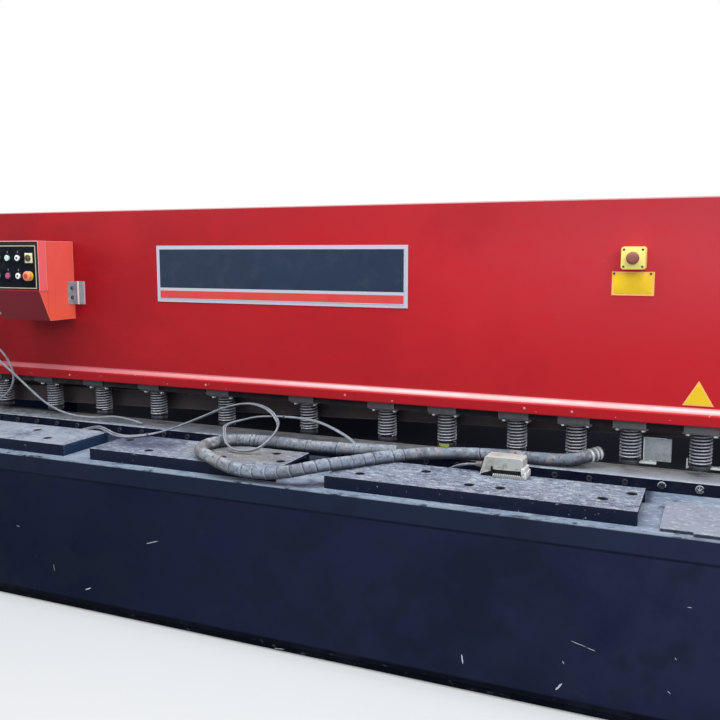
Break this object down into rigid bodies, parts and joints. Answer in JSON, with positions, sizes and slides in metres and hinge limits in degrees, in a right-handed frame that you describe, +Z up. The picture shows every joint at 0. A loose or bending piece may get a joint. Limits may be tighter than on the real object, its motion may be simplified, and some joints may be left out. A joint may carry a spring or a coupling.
{
  "type": "hydraulic guillotine shear",
  "caption": "Long hydraulic guillotine shear: plain bed with raised table plates, folded front plate, sprung hold-downs, raked upper blade and a back gauge.",
  "frame": {"origin": "on the floor, midway between the ends of the anchor feet and midway in depth", "axes": "+X along the machine to the operator's right, +Y to the rear, +Z up"},
  "size_m": [4.4, 1.87, 1.722],
  "materials": {
    "red_paint": "satin crimson paint, dusty",
    "box_paint": "satin red paint",
    "navy_paint": "dark navy paint, scratched",
    "ledge_paint": "blue-grey paint, worn and dusty",
    "worn_steel": "worn, oily machine-table steel",
    "blade_steel": "ground tool steel",
    "beam_paint": "dark paint",
    "dark_bolt": "dark, oily bolt heads",
    "grey_primer": "grey primer",
    "zinc_steel": "zinc plated",
    "bright_steel": "machined",
    "spring_steel": "bright wire",
    "foot_steel": "dark, oily",
    "plate_white": "white frame with a dark field",
    "marker_yellow": "yellow",
    "panel_black": "black",
    "key_cream": "cream",
    "stop_red": "red",
    "button_white": "white",
    "button_green": "green",
    "button_purple": "purple red",
    "hose_wrap": "grey spiral wrap",
    "cable_sheath": "grey sheath",
    "connector_beige": "beige, dirty"
  },
  "bodies": {
    "frame": {"angle_bracket": "zinc_steel", "back_gauge_rails": "beam_paint", "beam_guides": "bright_steel", "bed_front_wall": "navy_paint", "bed_top_plate": "ledge_paint", "bed_web": "navy_paint", "blade_holder": "worn_steel", "cable_a": "cable_sheath", "cable_b": "cable_sheath", "cable_c": "cable_sheath", "connector": "connector_beige", "control_box": "box_paint", "control_panel": "panel_black", "cylinder_barrels": "navy_paint", "flange_bolts": "zinc_steel", "front_plate": "red_paint", "hold_down_beam": "beam_paint", "hold_down_housings": "grey_primer", "hold_down_springs": "spring_steel", "hose": "hose_wrap", "lower_blade": "blade_steel", "lower_blade_bolts": "dark_bolt", "marker_plates": "marker_yellow", "nameplate": "plate_white", "power_unit": "navy_paint", "rear_guard": "beam_paint", "rear_slide": "navy_paint", "rear_tie_beam": "navy_paint", "side_frame_left": "navy_paint", "side_frame_right": "navy_paint", "stop_box": "marker_yellow", "table_plate_left": "worn_steel", "table_plate_middle": "worn_steel", "table_plate_right": "worn_steel", "valve_block": "bright_steel"},
    "blade_ram": {"blade_beam": "beam_paint", "upper_blade": "blade_steel", "cylinder_rods": "bright_steel"},
    "back_gauge": {"back_gauge_beam": "beam_paint"},
    "key_switch_body": {"key_switch": "key_cream"},
    "wall_stop": {"wall_stop_button": "stop_red"},
    "panel_stop": {"panel_stop_button": "stop_red"},
    "hold_down_01": {"hold_down_piston_01": "foot_steel"},
    "hold_down_02": {"hold_down_piston_02": "foot_steel"},
    "hold_down_03": {"hold_down_piston_03": "foot_steel"},
    "hold_down_04": {"hold_down_piston_04": "foot_steel"},
    "hold_down_05": {"hold_down_piston_05": "foot_steel"},
    "hold_down_06": {"hold_down_piston_06": "foot_steel"},
    "hold_down_07": {"hold_down_piston_07": "foot_steel"},
    "hold_down_08": {"hold_down_piston_08": "foot_steel"},
    "hold_down_09": {"hold_down_piston_09": "foot_steel"},
    "hold_down_10": {"hold_down_piston_10": "foot_steel"},
    "hold_down_11": {"hold_down_piston_11": "foot_steel"},
    "hold_down_12": {"hold_down_piston_12": "foot_steel"},
    "push_button_1_body": {"push_button_1": "button_white"},
    "push_button_2_body": {"push_button_2": "button_green"},
    "push_button_3_body": {"push_button_3": "button_green"},
    "push_button_4_body": {"push_button_4": "button_white"},
    "push_button_5_body": {"push_button_5": "button_purple"},
    "push_button_6_body": {"push_button_6": "button_green"}
  },
  "joints": [
    {"name": "blade_stroke", "type": "slide", "parent": "frame", "child": "blade_ram", "axis": [0, 0, -1], "range_m": [0, 0.146]},
    {"name": "back_gauge_slide", "type": "slide", "parent": "frame", "child": "back_gauge", "axis": [0, -1, 0], "range_m": [0, 0.75]},
    {"name": "key_turn", "type": "hinge", "parent": "frame", "child": "key_switch_body", "pos_m": [-1.164, -0.645, 1.5], "axis": [0, 1, 0], "range_deg": [0, 90]},
    {"name": "hold_down_01_press", "type": "slide", "parent": "frame", "child": "hold_down_01", "axis": [0, 0, -1], "range_m": [0, 0.0215], "stiffness_N_per_m": 6000, "springref_m": -0.025, "deforming": ["hold_down_springs"]},
    {"name": "hold_down_02_press", "type": "slide", "parent": "frame", "child": "hold_down_02", "axis": [0, 0, -1], "range_m": [0, 0.0215], "stiffness_N_per_m": 6000, "springref_m": -0.025},
    {"name": "hold_down_03_press", "type": "slide", "parent": "frame", "child": "hold_down_03", "axis": [0, 0, -1], "range_m": [0, 0.0215], "stiffness_N_per_m": 6000, "springref_m": -0.025},
    {"name": "hold_down_04_press", "type": "slide", "parent": "frame", "child": "hold_down_04", "axis": [0, 0, -1], "range_m": [0, 0.0215], "stiffness_N_per_m": 6000, "springref_m": -0.025},
    {"name": "hold_down_05_press", "type": "slide", "parent": "frame", "child": "hold_down_05", "axis": [0, 0, -1], "range_m": [0, 0.0215], "stiffness_N_per_m": 6000, "springref_m": -0.025},
    {"name": "hold_down_06_press", "type": "slide", "parent": "frame", "child": "hold_down_06", "axis": [0, 0, -1], "range_m": [0, 0.0215], "stiffness_N_per_m": 6000, "springref_m": -0.025},
    {"name": "hold_down_07_press", "type": "slide", "parent": "frame", "child": "hold_down_07", "axis": [0, 0, -1], "range_m": [0, 0.0215], "stiffness_N_per_m": 6000, "springref_m": -0.025},
    {"name": "hold_down_08_press", "type": "slide", "parent": "frame", "child": "hold_down_08", "axis": [0, 0, -1], "range_m": [0, 0.0215], "stiffness_N_per_m": 6000, "springref_m": -0.025},
    {"name": "hold_down_09_press", "type": "slide", "parent": "frame", "child": "hold_down_09", "axis": [0, 0, -1], "range_m": [0, 0.0215], "stiffness_N_per_m": 6000, "springref_m": -0.025},
    {"name": "hold_down_10_press", "type": "slide", "parent": "frame", "child": "hold_down_10", "axis": [0, 0, -1], "range_m": [0, 0.0215], "stiffness_N_per_m": 6000, "springref_m": -0.025},
    {"name": "hold_down_11_press", "type": "slide", "parent": "frame", "child": "hold_down_11", "axis": [0, 0, -1], "range_m": [0, 0.0215], "stiffness_N_per_m": 6000, "springref_m": -0.025},
    {"name": "hold_down_12_press", "type": "slide", "parent": "frame", "child": "hold_down_12", "axis": [0, 0, -1], "range_m": [0, 0.0215], "stiffness_N_per_m": 6000, "springref_m": -0.025},
    {"name": "push_button_1_press", "type": "slide", "parent": "frame", "child": "push_button_1_body", "axis": [0, 1, 0], "range_m": [0, 0.0035], "stiffness_N_per_m": 900, "springref_m": -0.003},
    {"name": "push_button_2_press", "type": "slide", "parent": "frame", "child": "push_button_2_body", "axis": [0, 1, 0], "range_m": [0, 0.0035], "stiffness_N_per_m": 900, "springref_m": -0.003},
    {"name": "push_button_3_press", "type": "slide", "parent": "frame", "child": "push_button_3_body", "axis": [0, 1, 0], "range_m": [0, 0.0035], "stiffness_N_per_m": 900, "springref_m": -0.003},
    {"name": "push_button_4_press", "type": "slide", "parent": "frame", "child": "push_button_4_body", "axis": [0, 1, 0], "range_m": [0, 0.0035], "stiffness_N_per_m": 900, "springref_m": -0.003},
    {"name": "push_button_5_press", "type": "slide", "parent": "frame", "child": "push_button_5_body", "axis": [0, 1, 0], "range_m": [0, 0.0035], "stiffness_N_per_m": 900, "springref_m": -0.003},
    {"name": "push_button_6_press", "type": "slide", "parent": "frame", "child": "push_button_6_body", "axis": [0, 1, 0], "range_m": [0, 0.0035], "stiffness_N_per_m": 900, "springref_m": -0.003},
    {"name": "wall_stop_press", "type": "slide", "parent": "frame", "child": "wall_stop", "axis": [0, 1, 0], "range_m": [0, 0.005], "stiffness_N_per_m": 1500, "springref_m": -0.004},
    {"name": "panel_stop_press", "type": "slide", "parent": "frame", "child": "panel_stop", "axis": [0, 1, 0], "range_m": [0, 0.005], "stiffness_N_per_m": 1500, "springref_m": -0.004}
  ],
  "couplings": [
    {"joint": "hold_down_02_press", "follows": "hold_down_01_press", "ratio": 1},
    {"joint": "hold_down_03_press", "follows": "hold_down_01_press", "ratio": 1},
    {"joint": "hold_down_04_press", "follows": "hold_down_01_press", "ratio": 1},
    {"joint": "hold_down_05_press", "follows": "hold_down_01_press", "ratio": 1},
    {"joint": "hold_down_06_press", "follows": "hold_down_01_press", "ratio": 1},
    {"joint": "hold_down_07_press", "follows": "hold_down_01_press", "ratio": 1},
    {"joint": "hold_down_08_press", "follows": "hold_down_01_press", "ratio": 1},
    {"joint": "hold_down_09_press", "follows": "hold_down_01_press", "ratio": 1},
    {"joint": "hold_down_10_press", "follows": "hold_down_01_press", "ratio": 1},
    {"joint": "hold_down_11_press", "follows": "hold_down_01_press", "ratio": 1},
    {"joint": "hold_down_12_press", "follows": "hold_down_01_press", "ratio": 1}
  ]
}
